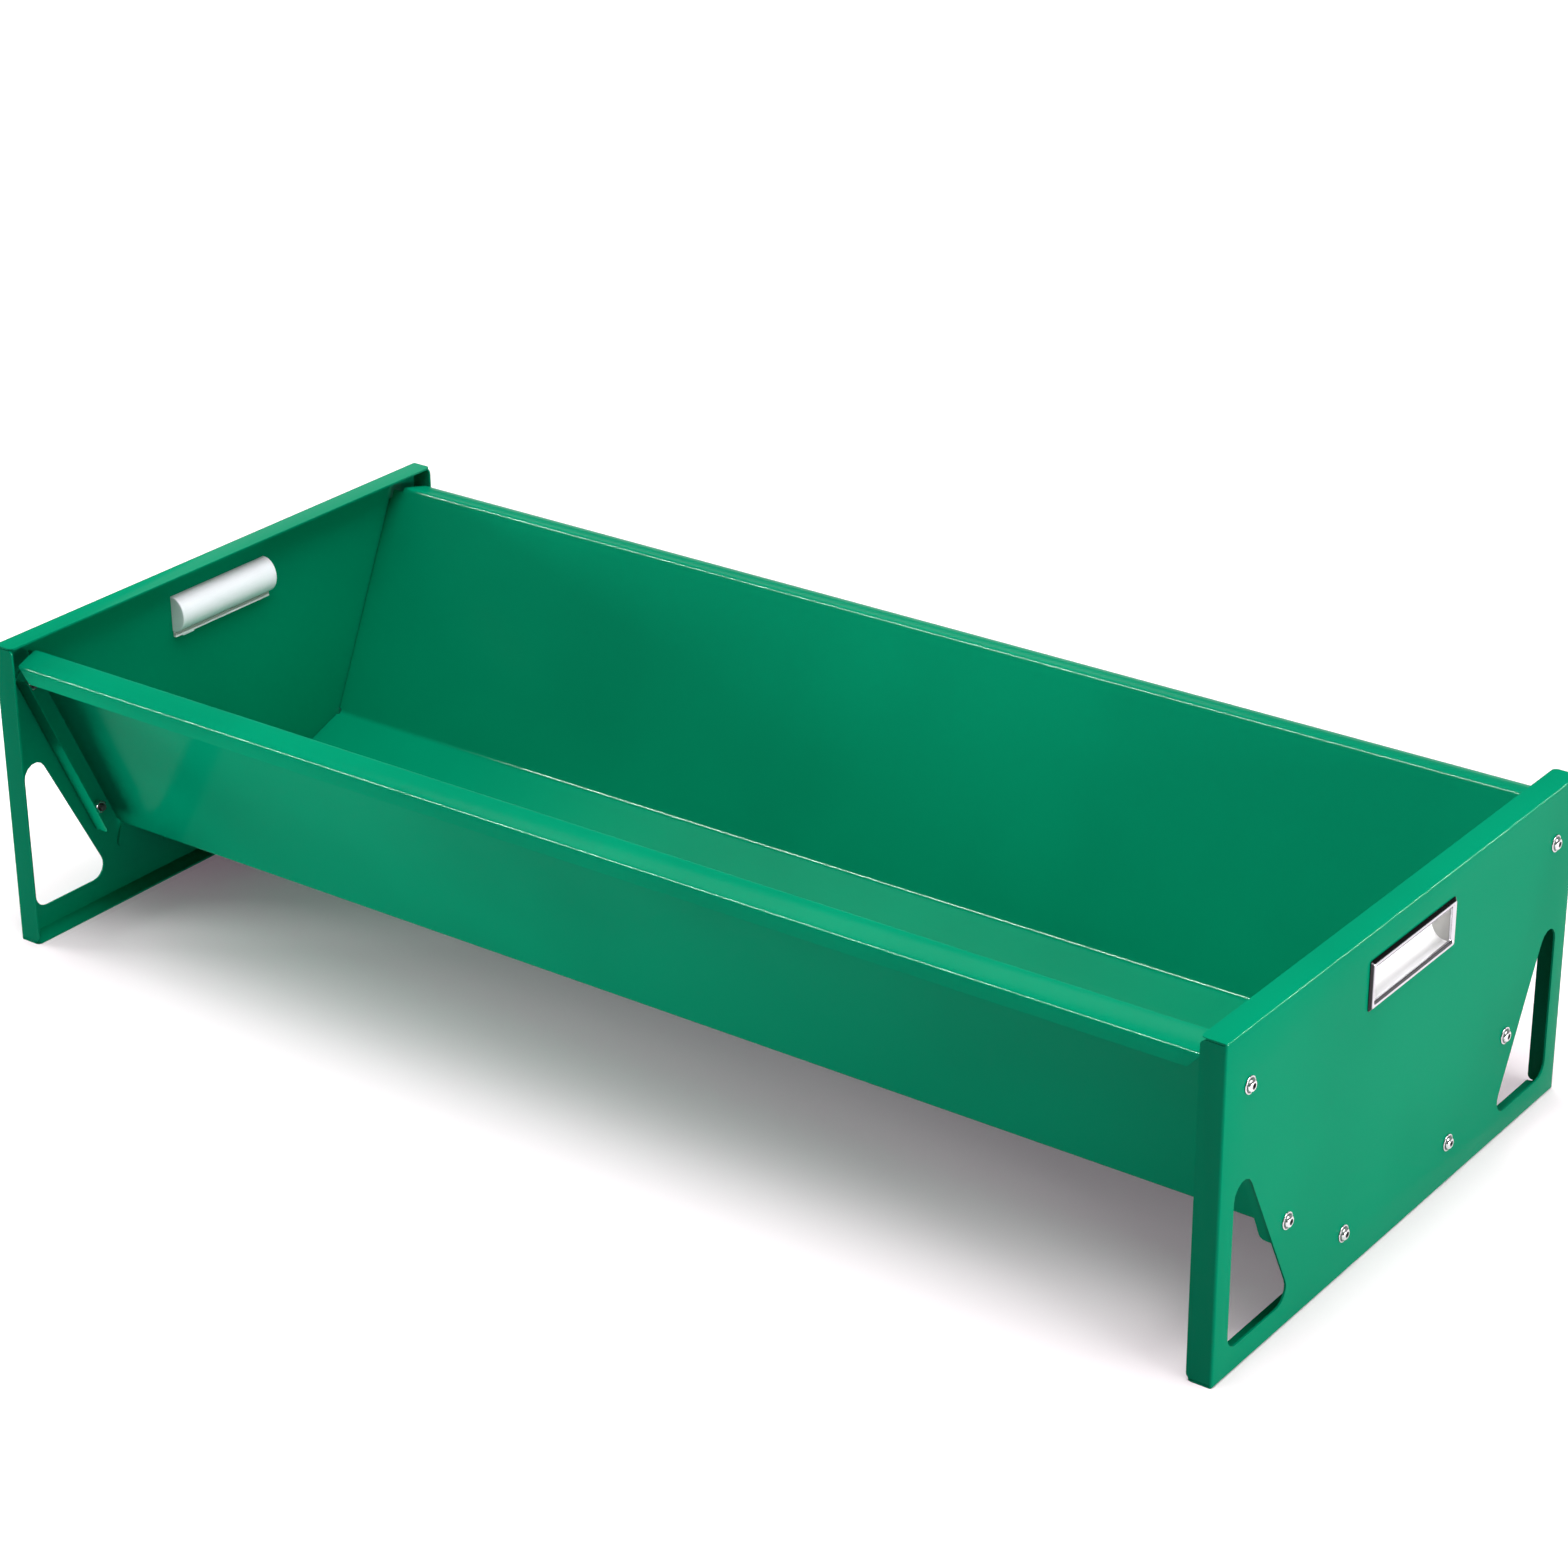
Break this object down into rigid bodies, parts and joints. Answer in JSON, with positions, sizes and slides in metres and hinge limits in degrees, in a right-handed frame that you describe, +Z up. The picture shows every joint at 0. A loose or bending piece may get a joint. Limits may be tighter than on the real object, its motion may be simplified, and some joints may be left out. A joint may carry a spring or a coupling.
{
  "type": "feed trough",
  "caption": "Low powder-coated sheet-steel feed trough on two windowed end panels, each with a recessed carry handle.",
  "frame": {"origin": "middle of the footprint, on the ground that the end panels stand on", "axes": "+X along the trough to its right end, +Y from its front to its back, +Z up"},
  "size_m": [1.1274, 0.5, 0.26],
  "materials": {
    "green_coat": "semi-gloss green powder coat with a slight orange peel",
    "chrome": "bright chrome plate",
    "satin_steel": "satin pressed steel",
    "zinc": "bright zinc plate"
  },
  "bodies": {
    "root": {"trough_pan": "green_coat", "left_end_panel": "green_coat", "right_end_panel": "green_coat", "left_handle_bezel": "chrome", "right_handle_bezel": "chrome", "left_handle_cup": "satin_steel", "right_handle_cup": "satin_steel", "left_handle_strip": "zinc", "right_handle_strip": "zinc", "bolt_left_front_top": "zinc", "bolt_left_front_mid": "zinc", "bolt_left_front_low": "zinc", "bolt_left_back_top": "zinc", "bolt_left_back_mid": "zinc", "bolt_left_back_low": "zinc", "bolt_right_front_top": "zinc", "bolt_right_front_mid": "zinc", "bolt_right_front_low": "zinc", "bolt_right_back_top": "zinc", "bolt_right_back_mid": "zinc", "bolt_right_back_low": "zinc", "nut_left_front_top": "zinc", "nut_left_front_mid": "zinc", "nut_left_front_low": "zinc", "nut_left_back_top": "zinc", "nut_left_back_mid": "zinc", "nut_left_back_low": "zinc", "nut_right_front_top": "zinc", "nut_right_front_mid": "zinc", "nut_right_front_low": "zinc", "nut_right_back_top": "zinc", "nut_right_back_mid": "zinc", "nut_right_back_low": "zinc"}
  },
  "joints": []
}
